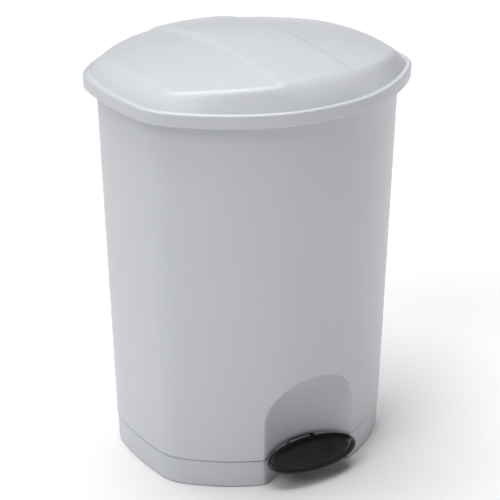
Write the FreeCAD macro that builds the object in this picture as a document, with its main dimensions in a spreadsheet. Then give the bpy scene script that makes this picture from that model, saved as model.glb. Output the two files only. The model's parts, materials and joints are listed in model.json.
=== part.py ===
import FreeCAD, Part
import math
import os
import Sketcher
from FreeCAD import Placement, Rotation, Vector

# Pedal bin with a drafted eight-sided body, a domed lid and a rear lift rod.
# Millimetres. +Z up, the pedal faces -Y, origin on the floor under the middle of the base.

SIZES = {
    # Plan of the body at its top rim: eight gently bowed sides, alike front to back and left to right.
    "front_half": 56.0,        # half the width of the front and the back side
    "front_reach": 177.0,      # from the middle to the ends of the front side
    "side_reach": 191.0,       # from the middle to the ends of the left or right side
    "side_half": 84.0,         # half the length of the left or right side
    "front_bulge": 6.0,
    "diagonal_bulge": 12.5,
    "side_bulge": 8.5,
    "corner_round": 75.0,      # rounding of the four side corners
    # Body shell.
    "body_height": 546.0,
    "draft_inset": 15.0,       # how far every wall leans in between the rim and the floor
    "body_wall": 2.5,
    # Base.
    "plinth_top": 40.0,
    "plinth_set_back": 1.0,
    "seam_gap": 1.2,           # height of the shadow groove between base and body
    "floor_thick": 3.0,
    "lip_rise": 9.0,           # base spigot inside the body
    "lip_wall": 2.0,
    "lip_clear": 0.2,
    "boss_radius": 7.0,
    "boss_inset": 6.0,
    "post_radius": 4.5,
    "boss_split": 54.0,        # height where base post and body boss meet
    "boss_top": 74.0,
    "base_screw_radius": 2.0,
    "base_screw_length": 60.0,
    "base_head_height": 2.2,
    "head_sink": 0.3,          # screw heads lie this deep in the underside of the base
    "screw_clear": 0.15,       # radial clearance of a screw in a plain hole
    # Foot niche in the front.
    "niche_half": 73.0,
    "niche_depth": 34.0,
    "niche_inset": 7.0,        # inside the plan's front side
    "niche_spring": 95.0,      # height where the arch begins
    "niche_rise": 62.0,
    "gate_half": 25.0,         # opening for the pedal neck at the back of the niche
    "gate_low": 22.0,
    "gate_high": 48.5,
    # Lid.
    "lid_overhang": 17.0,
    "skirt_drop": 9.0,         # below the body's rim
    "rim_rise": 9.0,           # above the body's rim
    "lid_wall": 2.5,
    "groove_depth": 1.5,
    "bead_width": 5.0,
    "dome_foot_inset": 7.0,    # from the rim edge to the foot of the dome
    "dome_lean": 0.62,         # run over rise of the dome's side
    "crown_radius": 800.0,
    "crown_rise": 42.0,        # above the rim's top
    "crown_shift": 25.0,       # the crown's crest lies this far in front of the middle
    "band_half": 55.0,         # half the width of the raised band
    "band_radius": 600.0,
    "band_rise": 45.0,         # above the rim's top
    "band_shift": 5.0,         # the band's crest lies this far behind the middle
    "band_step": 1.0,          # the band stands at least this much above the crown
    # Lid hinge and lift crank.
    "hinge_out": 30.5,         # behind the plan's back side
    "hinge_drop": 1.0,         # below the body's rim
    "hinge_pin_radius": 2.0,
    "hinge_bore_clear": 0.05,
    "hinge_pin_overhang": 3.5,
    "knuckle_radius": 6.0,
    "knuckle_inner": 18.0,
    "knuckle_width": 16.0,
    "cheek_gap": 0.6,
    "cheek_radius": 6.5,
    "cheek_width": 6.0,
    "bracket_drop": 54.0,      # below the body's rim
    "shelf_drop": 15.0,        # below the body's rim
    "bracket_plate": 4.0,
    "bracket_screw_x": 24.0,
    "bracket_screw_rise": 19.0,# above the bracket's lower edge
    "bracket_screw_radius": 2.0,
    "bracket_screw_length": 13.0,
    "bracket_head_radius": 3.6,
    "bracket_head_height": 2.4,
    "nut_radius": 3.9,
    "nut_thick": 3.2,
    "lid_open": 78.0,          # lid travel in degrees
    "crank_reach": 41.2,
    "crank_cheek": 3.0,
    "crank_gap": 1.0,
    "crank_plate": 3.5,
    "crank_eye": 3.6,
    "crank_plate_half": 14.0,
    "crank_plate_length": 21.0,
    "crank_pin_radius": 2.0,
    "crank_screw_radius": 1.75,
    "crank_screw_length": 12.0,
    "crank_head_radius": 3.4,
    "small_head_height": 1.8,
    # Lift rod.
    "rod_inset": 23.0,         # inside the plan's back side
    "rod_radius": 2.5,
    "rod_drop": 31.0,          # below the lid's hinge
    "head_thick": 6.0,
    "slot_clear": 1.1,
    "head_tine": 3.4,
    "socket_radius": 5.0,
    "socket_length": 20.0,
    "eye_radius": 5.5,
    "guide_low": 122.0,
    "guide_drop": 116.0,       # below the body's rim
    "guide_half": 13.0,
    "guide_height": 12.0,
    "guide_clear": 0.08,
    "guide_screw_x": 8.5,
    "guide_screw_radius": 1.7,
    "guide_screw_length": 9.0,
    "guide_head_radius": 3.0,
    "guide_head_height": 1.6,
    # Pedal and lever.
    "axle_inset": 55.0,        # inside the plan's front side
    "axle_up": 40.0,
    "axle_radius": 3.0,
    "axle_clear": 0.06,
    "hub_radius": 7.0,
    "hub_half": 22.0,
    "bearing_gap": 1.0,
    "bearing_width": 10.0,
    "bearing_length": 20.0,
    "bearing_screw_radius": 1.75,
    "bearing_screw_length": 15.0,
    "lever_half": 8.0,
    "lever_height": 10.0,
    "lever_plate": 4.0,
    "lever_plate_half": 17.0,
    "rod_pin_radius": 2.0,
    "pedal_half": 71.5,
    "pedal_depth": 27.0,
    "pedal_thick": 9.0,
    "pedal_dish": 3.0,
    "pedal_rim": 5.0,
    "pedal_lip": 5.0,          # depth of the full outline, above the stepped underside
    "pedal_under": 4.0,        # width of the step
    "pedal_inset": 8.0,        # inside the plan's front side
    "pedal_up": 39.0,
    "pedal_tilt": 28.0,
    "tread_screw_radius": 1.75,
    "tread_screw_length": 7.0,
    "tread_head_radius": 3.2,
    # Inner bucket.
    "bucket_low": 82.0,
    "bucket_gap": 8.0,         # from the rim outline to the bucket's outer wall, at the top
    "bucket_draft": 24.0,
    "bucket_wall": 2.0,
    "flange_thick": 2.0,
    "flange_edge": 1.0,
    "channel_half": 17.0,
    "channel_inset": 33.0,     # inside the plan's back side
    "grip_half": 45.0,
    "grip_drop": 44.0,         # below the body's rim
    "grip_height": 24.0,
    "niche_clear": 5.0,
    "buffer_radius": 3.0,
    "buffer_along": 40.0,
    "buffer_clear": 0.1,
    "buffer_post": 5.0,        # radius of the lid's post above a buffer
}

# Places that follow the body's height and depth, as formulas of the sheet.
FOLLOWING = {
    "skirt_low": "body_height - skirt_drop",
    "rim_top": "body_height + rim_rise",
    "crown_top": "rim_top + crown_rise",
    "band_top": "rim_top + band_rise",
    "hinge_back": "front_reach + hinge_out",
    "hinge_up": "body_height - hinge_drop",
    "bracket_low": "body_height - bracket_drop",
    "bracket_shelf": "body_height - shelf_drop",
    "bracket_screw_z": "bracket_low + bracket_screw_rise",
    "rod_top": "hinge_up - rod_drop",
    "guide_high": "body_height - guide_drop",
    "grip_low": "body_height - grip_drop",
    "rod_back": "front_reach - rod_inset",
    "channel_front": "front_reach - channel_inset",
    "niche_front": "front_reach - niche_inset",
    "pedal_front": "front_reach - pedal_inset",
    "axle_front": "front_reach - axle_inset",
}

doc = FreeCAD.newDocument("pedal_bin")
sheet = doc.addObject("Spreadsheet::Sheet", "Dim")
formulas = {alias: f"={formula}" for alias, formula in FOLLOWING.items()}
for row, (alias, value) in enumerate({**SIZES, **formulas}.items(), start=1):
    sheet.set(f"A{row}", alias)
    sheet.set(f"B{row}", str(value))
    sheet.setAlias(f"B{row}", alias)
doc.recompute()

NODES = []          # finished sub-parts, in the order they are written

CORNER_TURN = "atan2(Dim.front_reach - Dim.side_half; Dim.side_reach - Dim.front_half)"
AXIS_TURNS = {
    "x": Rotation(Vector(0, 1, 0), 90),
    "y": Rotation(Vector(1, 0, 0), -90),
    "z": Rotation(),
}


def size(alias):
    """A driving dimension as a number."""
    return float(sheet.get(alias))


def finish_node(obj, label):
    """Mark an object as a finished sub-part with its own name."""
    obj.Label = label
    NODES.append(obj)
    return obj


def bind(obj, **expressions):
    for prop, expression in expressions.items():
        obj.setExpression(prop.replace("__", "."), str(expression))


def place(obj, at, rotation=Rotation()):
    obj.Placement = Placement(Vector(), rotation)
    for axis, expression in zip("xyz", at):
        obj.setExpression(f"Placement.Base.{axis}", str(expression))


def box(name, x, y, z):
    """A box between pairs of expressions."""
    obj = doc.addObject("Part::Box", name)
    for prop, (low, high) in zip(("Length", "Width", "Height"), (x, y, z)):
        obj.setExpression(prop, f"({high}) - ({low})")
    place(obj, (x[0], y[0], z[0]))
    return obj


def cylinder(name, radius, length, at, axis="z"):
    """A cylinder that starts at a point and runs along +x, +y or +z."""
    obj = doc.addObject("Part::Cylinder", name)
    bind(obj, Radius=radius, Height=length)
    place(obj, at, AXIS_TURNS[axis])
    return obj


def fuse(name, *shapes):
    obj = doc.addObject("Part::MultiFuse", name)
    obj.Shapes = list(shapes)
    return obj


def common(name, *shapes):
    obj = doc.addObject("Part::MultiCommon", name)
    obj.Shapes = list(shapes)
    return obj


def cut(name, base, *tools):
    """The base with every tool taken away."""
    obj = doc.addObject("Part::Cut", name)
    obj.Base = base
    obj.Tool = tools[0] if len(tools) == 1 else fuse(f"{name}_tools", *tools)
    return obj


def group(label, shapes):
    """Identical fasteners as one node of separate solids."""
    obj = doc.addObject("Part::Compound", label)
    obj.Links = list(shapes)
    return finish_node(obj, label)


def origin_plane(body, role):
    return next(o for o in body.Origin.OriginFeatures if o.Role == role)


def lean(height):
    """How far the drafted wall stands out from the rim's plan at a height."""
    return f"(-Dim.draft_inset * (Dim.body_height - ({height})) / Dim.body_height)"


def arc_radius(half_chord, bulge):
    """Radius of an arc over a half chord, as an expression."""
    return f"((pow({half_chord}; 2) + pow({bulge}; 2)) / (2 * {bulge}))"


FRONT_RADIUS = arc_radius("Dim.front_half", "Dim.front_bulge")
SIDE_RADIUS = arc_radius("Dim.side_half", "Dim.side_bulge")
DIAGONAL_RADIUS = arc_radius(
    "(sqrt(pow(Dim.side_reach - Dim.front_half; 2) + pow(Dim.front_reach - Dim.side_half; 2)) / 2)",
    "Dim.diagonal_bulge")
DIAGONAL_X = (f"((Dim.front_half + Dim.side_reach) / 2"
              f" + (Dim.diagonal_bulge - {DIAGONAL_RADIUS}) * sin({CORNER_TURN}))")
DIAGONAL_Y = (f"((Dim.front_reach + Dim.side_half) / 2"
              f" + (Dim.diagonal_bulge - {DIAGONAL_RADIUS}) * cos({CORNER_TURN}))")

# The plan's twelve arcs, counter-clockwise: four diagonals, four corner roundings, two sides, back, front.
DIAGONALS = (0, 4, 6, 10)
CORNERS = (1, 3, 7, 9)
SIDE_ARCS = (2, 8)
END_ARCS = (11, 5)


def rough_arcs():
    """The twelve arcs near their final places, for the sketch to be solved from."""
    x_front, y_front = size("front_half"), size("front_reach")
    x_side, y_side = size("side_reach"), size("side_half")
    trim = 0.25 * size("corner_round")
    slope = math.atan2(y_front - y_side, x_side - x_front)
    x_cut, y_cut = x_side - trim * math.cos(slope), y_side + trim * math.sin(slope)
    quarter = [(x_front, -y_front, size("diagonal_bulge")), (x_cut, -y_cut, 0.1 * trim),
               (x_side, -y_side + trim, size("side_bulge")), (x_side, y_side - trim, 0.1 * trim),
               (x_cut, y_cut, size("diagonal_bulge")), (x_front, y_front, size("front_bulge"))]
    ring_points = quarter + [(-x, -y, bulge) for x, y, bulge in quarter]
    arcs = []
    for i, (x, y, bulge) in enumerate(ring_points):
        start = Vector(x, y, 0)
        end = Vector(*ring_points[(i + 1) % 12][:2], 0)
        along = end - start
        outward = Vector(along.y, -along.x, 0).normalize()
        arcs.append(Part.Arc(start, (start + end) * 0.5 + outward * bulge, end))
    return arcs


def plan_sketch(body, name, height, grow):
    """The eight-sided plan with bowed sides and rounded corners, offset by an amount, at a height."""
    sketch = body.newObject("Sketcher::SketchObject", name)
    sketch.AttachmentSupport = [(origin_plane(body, "XY_Plane"), "")]
    sketch.MapMode = "FlatFace"
    sketch.setExpression("AttachmentOffset.Base.z", height)
    for arc in rough_arcs():
        sketch.addGeometry(arc, False)
    for i in range(12):
        smooth = i in CORNERS or (i + 1) % 12 in CORNERS
        sketch.addConstraint(Sketcher.Constraint("Tangent" if smooth else "Coincident",
                                                 i, 2, (i + 1) % 12, 1))
    for arcs in (DIAGONALS, CORNERS, SIDE_ARCS, END_ARCS):
        for other in arcs[1:]:
            sketch.addConstraint(Sketcher.Constraint("Equal", arcs[0], other))
    sketch.addConstraint(Sketcher.Constraint("PointOnObject", SIDE_ARCS[0], 3, -1))
    sketch.addConstraint(Sketcher.Constraint("PointOnObject", END_ARCS[0], 3, -2))
    for first, other, axis in [(2, 8, -2), (11, 5, -1), (0, 4, -1), (0, 10, -2), (4, 6, -2)]:
        sketch.addConstraint(Sketcher.Constraint("Symmetric", first, 3, other, 3, axis))
    driven = [
        ("DistanceX", (-1, 1, 0, 3), DIAGONAL_X),
        ("DistanceY", (0, 3, -1, 1), DIAGONAL_Y),
        ("DistanceX", (-1, 1, 2, 3), f"Dim.side_reach + Dim.side_bulge - {SIDE_RADIUS}"),
        ("DistanceY", (11, 3, -1, 1), f"Dim.front_reach + Dim.front_bulge - {FRONT_RADIUS}"),
        ("Radius", (0,), f"{DIAGONAL_RADIUS} + ({grow})"),
        ("Radius", (1,), "Dim.corner_round"),
        ("Radius", (2,), f"{SIDE_RADIUS} + ({grow})"),
        ("Radius", (11,), f"{FRONT_RADIUS} + ({grow})"),
    ]
    for kind, places, expression in driven:
        index = sketch.addConstraint(Sketcher.Constraint(kind, *places, constraint_now(sketch, kind, places)))
        sketch.setExpression(f"Constraints[{index}]", expression)
    return sketch


def constraint_now(sketch, kind, places):
    """The value a new dimension has on the geometry as it lies."""
    if kind == "Radius":
        return sketch.Geometry[places[0]].Radius
    points = [Vector() if arc < 0 else sketch.Geometry[arc].Center for arc in (places[0], places[2])]
    step = points[1] - points[0]
    return step.x if kind == "DistanceX" else step.y


def plan_solid(name, low, grow_low, high, grow_high):
    """A drafted solid between two grown plans."""
    body = doc.addObject("PartDesign::Body", name)
    bottom = plan_sketch(body, f"{name}_bottom", low, grow_low)
    top = plan_sketch(body, f"{name}_top", high, grow_high)
    loft = body.newObject("PartDesign::AdditiveLoft", f"{name}_loft")
    loft.Profile = bottom
    loft.Sections = [top]
    loft.Ruled = True
    return body


def drafted(name, low, high, grow="0"):
    """A solid with the body's draft between two heights, grown by an amount."""
    return plan_solid(name, low, f"{lean(low)} + ({grow})", high, f"{lean(high)} + ({grow})")


def niche_solid(name, grow):
    """The foot niche as a solid: an upright elliptic trunk under a quarter-round top."""
    dome = doc.addObject("Part::Ellipsoid", f"{name}_arch")
    bind(dome, Radius1=f"Dim.niche_rise + ({grow})", Radius2=f"Dim.niche_half + ({grow})",
         Radius3=f"Dim.niche_depth + ({grow})")
    place(dome, (0, "-Dim.niche_front", "Dim.niche_spring"))
    rim = doc.addObject("Part::Ellipse", f"{name}_rim")
    bind(rim, MajorRadius=f"Dim.niche_half + ({grow})", MinorRadius=f"Dim.niche_depth + ({grow})")
    place(rim, (0, "-Dim.niche_front", 0))
    trunk = doc.addObject("Part::Extrusion", f"{name}_trunk")
    trunk.Base = rim
    trunk.DirMode = "Custom"
    trunk.Dir = Vector(0, 0, 1)
    trunk.Solid = True
    trunk.setExpression("LengthFwd", "Dim.niche_spring")
    return fuse(name, dome, trunk)


def fastener(name, at, axis, head_radius, head_height, shank_radius, shank_length, outward=1):
    """A pan head that stands on a point, on the outward side, and a shank on the other side."""
    index = "xyz".index(axis)
    pieces = []
    for label, radius, length, sense in [("head", head_radius, head_height, outward),
                                         ("shank", shank_radius, shank_length, -outward)]:
        start = list(at)
        if sense < 0:
            start[index] = f"({at[index]}) - ({length})"
        pieces.append(cylinder(f"{name}_{label}", radius, length, start, axis))
    return fuse(name, *pieces)


def ring(name, radius, bore, length, at, axis):
    """A washer-like retaining ring."""
    outer = cylinder(f"{name}_outer", radius, length, at, axis)
    inner = cylinder(f"{name}_bore", bore, length, at, axis)
    return cut(name, outer, inner)


BODY_LOW = "Dim.plinth_top + Dim.seam_gap"
QUARTERS = [(1, 1), (-1, 1), (-1, -1), (1, -1)]
SIDES = [("left", -1), ("right", 1)]
BOSS_OUT = f"(Dim.diagonal_bulge + {lean('Dim.boss_top')} - Dim.body_wall - Dim.boss_inset)"
BOSS_X = f"((Dim.front_half + Dim.side_reach) / 2 + {BOSS_OUT} * sin({CORNER_TURN}))"
BOSS_Y = f"((Dim.front_reach + Dim.side_half) / 2 + {BOSS_OUT} * cos({CORNER_TURN}))"
HALF_OPEN = "(Dim.lid_open * 1deg / 2)"
LIFT_HALF = f"(Dim.crank_reach * sin{HALF_OPEN})"
CRANK_Y = f"(Dim.hinge_back - Dim.crank_reach * cos{HALF_OPEN})"
CRANK_Z = f"(Dim.hinge_up - {LIFT_HALF})"
ROD_LOW = f"(Dim.axle_up - {LIFT_HALF})"
BACK_REACH = "(Dim.front_reach + Dim.front_bulge)"
LID_UNDER = "(Dim.rim_top - Dim.groove_depth - Dim.lid_wall)"
FLANGE_TOP = "(Dim.body_height + Dim.flange_thick)"


def back_face(height, across):
    """The outer face of the body's back wall at a height and a distance from the middle."""
    return f"({BACK_REACH} + {lean(height)} - Dim.front_bulge * pow(({across}) / Dim.front_half; 2))"


def mirrored_boxes(name, x, y, z):
    """The same box on the left and on the right."""
    right = box(f"{name}_right", x, y, z)
    left = box(f"{name}_left", (f"-({x[1]})", f"-({x[0]})"), y, z)
    return [left, right]


# Foot niche, shared by the body, the base and the inner bucket.
niche_face = niche_solid("niche_face", "0")
niche_back = niche_solid("niche_back", "Dim.body_wall")
NICHE_Y = "(Dim.niche_depth - Dim.niche_front)"
gate = box("pedal_gate", ("-Dim.gate_half", "Dim.gate_half"),
           (f"{NICHE_Y} - 2 * Dim.body_wall", f"{NICHE_Y} + 2 * Dim.body_wall"),
           ("Dim.gate_low", "Dim.gate_high"))


def back_wall_holes(name, across, height, radius):
    """Horizontal screw holes through the back wall, from 25 mm inside it to 15 mm outside it."""
    return [cylinder(f"{name}_{side}", radius, "25 + 15",
                     (f"{sign} * {across}", f"{BACK_REACH} - 25", height), "y")
            for side, sign in SIDES]


def make_outer_body():
    """Drafted shell, open above and below, with the foot niche and four screw bosses."""
    hollow = cut("body_hollow_part", body_hollow, niche_back)
    shell = cut("body_shell", body_solid, hollow, niche_face)
    bosses = []
    holes = [gate]
    for i, (sx, sy) in enumerate(QUARTERS):
        at = (f"{sx} * {BOSS_X}", f"{sy} * {BOSS_Y}")
        bosses.append(cylinder(f"body_boss_{i}", "Dim.boss_radius", "Dim.boss_top - Dim.boss_split",
                               (*at, "Dim.boss_split")))
        holes.append(cylinder(f"body_pilot_{i}", "Dim.base_screw_radius",
                              "Dim.boss_top - Dim.boss_split", (*at, "Dim.boss_split - 1")))
    holes += back_wall_holes("bolt_hole", "Dim.bracket_screw_x", "Dim.bracket_screw_z",
                             "Dim.bracket_screw_radius + 0.1")
    for level in ("low", "high"):
        holes += back_wall_holes(f"guide_hole_{level}", "Dim.guide_screw_x", f"Dim.guide_{level}",
                                 "Dim.guide_screw_radius")
    finish_node(cut("outer_body_cut", fuse("body_with_bosses", shell, *bosses), *holes), "outer_body")


def make_base():
    """Base plinth with floor, locating lip and screw posts, and the screws that hold the body to it."""
    solid = drafted("plinth_solid", "0", "Dim.plinth_top", "-Dim.plinth_set_back")
    inside = drafted("plinth_inside", "Dim.floor_thick", "Dim.plinth_top + 1",
                     "-Dim.plinth_set_back - Dim.body_wall")
    tray = cut("plinth_tray", solid, cut("plinth_room", inside, niche_back), niche_face)
    lip_low = "Dim.plinth_top - Dim.lip_rise"
    lip_top = "Dim.plinth_top + Dim.lip_rise"
    lip_out = "-Dim.body_wall - Dim.lip_clear"
    lip = cut("plinth_lip", drafted("lip_solid", lip_low, lip_top, lip_out),
              drafted("lip_hollow", f"{lip_low} - 1", f"{lip_top} + 1", f"{lip_out} - Dim.lip_wall"),
              niche_solid("lip_niche", "Dim.body_wall + Dim.lip_clear"))
    posts = []
    holes = [gate]
    screws = []
    for i, (sx, sy) in enumerate(QUARTERS):
        at = (f"{sx} * {BOSS_X}", f"{sy} * {BOSS_Y}")
        posts.append(cylinder(f"post_{i}", "Dim.post_radius", "Dim.boss_split - Dim.floor_thick",
                              (*at, "Dim.floor_thick")))
        holes.append(cylinder(f"post_hole_{i}", "Dim.base_screw_radius + Dim.screw_clear",
                              "Dim.boss_split", (*at, "0")))
        holes.append(cylinder(f"post_sink_{i}", "2 * Dim.base_screw_radius + Dim.screw_clear",
                              "Dim.head_sink + Dim.base_head_height", (*at, "0")))
        screws.append(fastener(f"base_screw_{i}", (*at, "Dim.head_sink + Dim.base_head_height"), "z",
                               "2 * Dim.base_screw_radius", "Dim.base_head_height",
                               "Dim.base_screw_radius", "Dim.base_screw_length", outward=-1))
    for i, (sx, sy) in enumerate(QUARTERS):
        at = bearing_screw_place(sx, sy)
        holes.append(cylinder(f"bearing_hole_{i}", "Dim.bearing_screw_radius + Dim.screw_clear",
                              "Dim.boss_split", (*at, "0")))
        holes.append(cylinder(f"bearing_sink_{i}", "2 * Dim.bearing_screw_radius + Dim.screw_clear",
                              "Dim.head_sink + Dim.small_head_height", (*at, "0")))
    finish_node(cut("base_plinth_cut", fuse("plinth_whole", tray, lip, *posts), *holes), "base_plinth")
    group("base_screws", screws)


BEARING_INNER = "(Dim.hub_half + Dim.bearing_gap)"
BEARING_OUTER = f"({BEARING_INNER} + Dim.bearing_width)"


def bearing_screw_place(side, along):
    return (f"{side} * ({BEARING_INNER} + Dim.bearing_width / 2)",
            f"-Dim.axle_front + {along} * (Dim.bearing_length / 2 - 4)")


def make_pedal_bearings():
    """Two upright blocks on the base floor that carry the pedal axle, and their screws."""
    blocks = mirrored_boxes("bearing", (BEARING_INNER, BEARING_OUTER),
                            ("-Dim.axle_front - Dim.bearing_length / 2",
                             "-Dim.axle_front + Dim.bearing_length / 2"),
                            ("Dim.floor_thick", "Dim.axle_up + Dim.hub_radius"))
    bore = cylinder("bearing_bore", "Dim.axle_radius + Dim.axle_clear", f"2 * {BEARING_OUTER} + 2",
                    (f"-{BEARING_OUTER} - 1", "-Dim.axle_front", "Dim.axle_up"), "x")
    pilots = []
    screws = []
    for i, (sx, sy) in enumerate(QUARTERS):
        at = bearing_screw_place(sx, sy)
        pilots.append(cylinder(f"bearing_pilot_{i}", "Dim.bearing_screw_radius",
                               "Dim.bearing_screw_length + 5", (*at, "0")))
        screws.append(fastener(f"bearing_screw_{i}", (*at, "Dim.head_sink + Dim.small_head_height"),
                               "z", "2 * Dim.bearing_screw_radius", "Dim.small_head_height",
                               "Dim.bearing_screw_radius", "Dim.bearing_screw_length", outward=-1))
    finish_node(cut("bearing_pair", fuse("bearing_blocks", *blocks), bore, *pilots), "pedal_bearings")
    group("bearing_screws", screws)


def make_hinge_bracket():
    """Fixed half of the lid hinge, seated on the back wall, with bolts, nuts, pin and clips."""
    cheek_in = "(Dim.knuckle_inner + Dim.knuckle_width + Dim.cheek_gap)"
    cheek_out = f"({cheek_in} + Dim.cheek_width)"
    plate_out = f"({BACK_REACH} + Dim.bracket_plate)"
    inside = f"{BACK_REACH} - 14"
    plate = box("bracket_back", (f"-{cheek_out} - 4", f"{cheek_out} + 4"), (inside, plate_out),
                ("Dim.bracket_low", "Dim.bracket_shelf"))
    webs = mirrored_boxes("bracket_web", (cheek_in, cheek_out),
                          (inside, f"Dim.hinge_back + Dim.cheek_radius"),
                          ("Dim.bracket_low + 8", "Dim.bracket_shelf"))
    risers = mirrored_boxes("bracket_riser", (cheek_in, cheek_out),
                            (f"Dim.hinge_back - Dim.cheek_radius", f"Dim.hinge_back + Dim.cheek_radius"),
                            ("Dim.bracket_shelf - 2", "Dim.hinge_up"))
    discs = []
    for side, start in (("left", f"-{cheek_out}"), ("right", cheek_in)):
        discs.append(cylinder(f"bracket_disc_{side}", "Dim.cheek_radius", "Dim.cheek_width",
                              (start, "Dim.hinge_back", "Dim.hinge_up"), "x"))
    bore = cylinder("bracket_bore", "Dim.hinge_pin_radius", f"2 * {cheek_out} + 2",
                    (f"-{cheek_out} - 1", "Dim.hinge_back", "Dim.hinge_up"), "x")
    bolt_holes = back_wall_holes("bracket_hole", "Dim.bracket_screw_x", "Dim.bracket_screw_z",
                                 "Dim.bracket_screw_radius + 0.1")
    finish_node(cut("bracket_cut", fuse("bracket_raw", plate, *webs, *risers, *discs), body_solid,
                    bore, *bolt_holes), "hinge_bracket")
    bolts = []
    nuts = []
    for side, sign in SIDES:
        across = f"{sign} * Dim.bracket_screw_x"
        bolts.append(fastener(f"bracket_bolt_{side}", (across, plate_out, "Dim.bracket_screw_z"), "y",
                              "Dim.bracket_head_radius", "Dim.bracket_head_height",
                              "Dim.bracket_screw_radius", "Dim.bracket_screw_length"))
        prism = doc.addObject("Part::Prism", f"nut_prism_{side}")
        prism.Polygon = 6
        bind(prism, Circumradius="Dim.nut_radius", Height="Dim.nut_thick")
        inner_face = back_face("Dim.bracket_screw_z", "Dim.bracket_screw_x + Dim.nut_radius")
        place(prism, (across, f"{inner_face} - Dim.body_wall - 0.1 - Dim.nut_thick",
                      "Dim.bracket_screw_z"), AXIS_TURNS["y"])
        hole = cylinder(f"nut_hole_{side}", "Dim.bracket_screw_radius", "30",
                        (across, f"{inside} - 10", "Dim.bracket_screw_z"), "y")
        nuts.append(cut(f"bracket_nut_{side}", prism, hole))
    group("bracket_bolts", bolts)
    group("bracket_nuts", nuts)
    pin_end = f"({cheek_out} + Dim.hinge_pin_overhang)"
    finish_node(cylinder("hinge_pin_rod", "Dim.hinge_pin_radius", f"2 * {pin_end}",
                         (f"-{pin_end}", "Dim.hinge_back", "Dim.hinge_up"), "x"), "hinge_pin")
    clips = []
    for side, start in (("left", f"-{cheek_out} - 2.2"), ("right", f"{cheek_out} + 0.2")):
        clips.append(ring(f"hinge_clip_{side}", "2.2 * Dim.hinge_pin_radius", "Dim.hinge_pin_radius",
                          "2", (start, "Dim.hinge_back", "Dim.hinge_up"), "x"))
    group("hinge_pin_clips", clips)


def make_rod_guides():
    """Two bearing blocks inside the back wall for the lift rod, with screws from outside."""
    screws = []
    for level, label in (("high", "rod_guide_upper"), ("low", "rod_guide_lower")):
        middle = f"Dim.guide_{level}"
        block = box(f"guide_block_{level}", ("-Dim.guide_half", "Dim.guide_half"),
                    ("Dim.rod_back - 3 * Dim.rod_radius", BACK_REACH),
                    (f"{middle} - Dim.guide_height / 2", f"{middle} + Dim.guide_height / 2"))
        bore = cylinder(f"guide_bore_{level}", "Dim.rod_radius + Dim.guide_clear",
                        "Dim.guide_height + 2", ("0", "Dim.rod_back",
                                                 f"{middle} - Dim.guide_height / 2 - 1"))
        holes = back_wall_holes(f"guide_thread_{level}", "Dim.guide_screw_x", middle,
                                "Dim.guide_screw_radius")
        seated = common(f"guide_seated_{level}", block, body_hollow)
        finish_node(cut(f"guide_cut_{level}", seated, bore, *holes), label)
        for side, sign in SIDES:
            across = f"{sign} * Dim.guide_screw_x"
            screws.append(fastener(f"guide_screw_{level}_{side}",
                                   (across, f"{back_face(middle, 'Dim.guide_screw_x - 3')} + 0.02",
                                    middle), "y", "Dim.guide_head_radius", "Dim.guide_head_height",
                                   "Dim.guide_screw_radius", "Dim.guide_screw_length"))
    group("guide_screws", screws)


def make_inner_bucket():
    """Lift-out bucket that hangs by its flange on the body's rim."""
    solid = plan_solid("bucket_solid", "Dim.bucket_low", "-Dim.bucket_gap - Dim.bucket_draft",
                       FLANGE_TOP, "-Dim.bucket_gap")
    inside = plan_solid("bucket_inside", "Dim.bucket_low + Dim.bucket_wall",
                        "-Dim.bucket_gap - Dim.bucket_draft - Dim.bucket_wall",
                        f"{FLANGE_TOP} + 1", "-Dim.bucket_gap - Dim.bucket_wall")
    flange = plan_solid("bucket_flange", "Dim.body_height", "-Dim.flange_edge",
                        FLANGE_TOP, "-Dim.flange_edge")
    tall = ("0", f"{FLANGE_TOP} + 5")
    channel = box("bucket_channel", ("-Dim.channel_half", "Dim.channel_half"),
                  ("Dim.channel_front", f"{BACK_REACH} + 5"), tall)
    channel_wall = box("bucket_channel_wall",
                       ("-Dim.channel_half - Dim.bucket_wall", "Dim.channel_half + Dim.bucket_wall"),
                       ("Dim.channel_front - Dim.bucket_wall", f"{BACK_REACH} + 5"), tall)
    dent = niche_solid("bucket_dent", "Dim.body_wall + Dim.niche_clear")
    dent_wall = niche_solid("bucket_dent_wall", "Dim.body_wall + Dim.niche_clear + Dim.bucket_wall")
    outer = fuse("bucket_outer", solid, flange)
    room = cut("bucket_room", inside, channel_wall, dent_wall)
    grips = mirrored_boxes("bucket_grip", ("Dim.side_reach - 40", "Dim.side_reach + 20"),
                           ("-Dim.grip_half", "Dim.grip_half"),
                           ("Dim.grip_low", "Dim.grip_low + Dim.grip_height"))
    finish_node(cut("inner_bucket_cut", outer, room, channel, dent, *grips), "inner_bucket")


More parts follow.
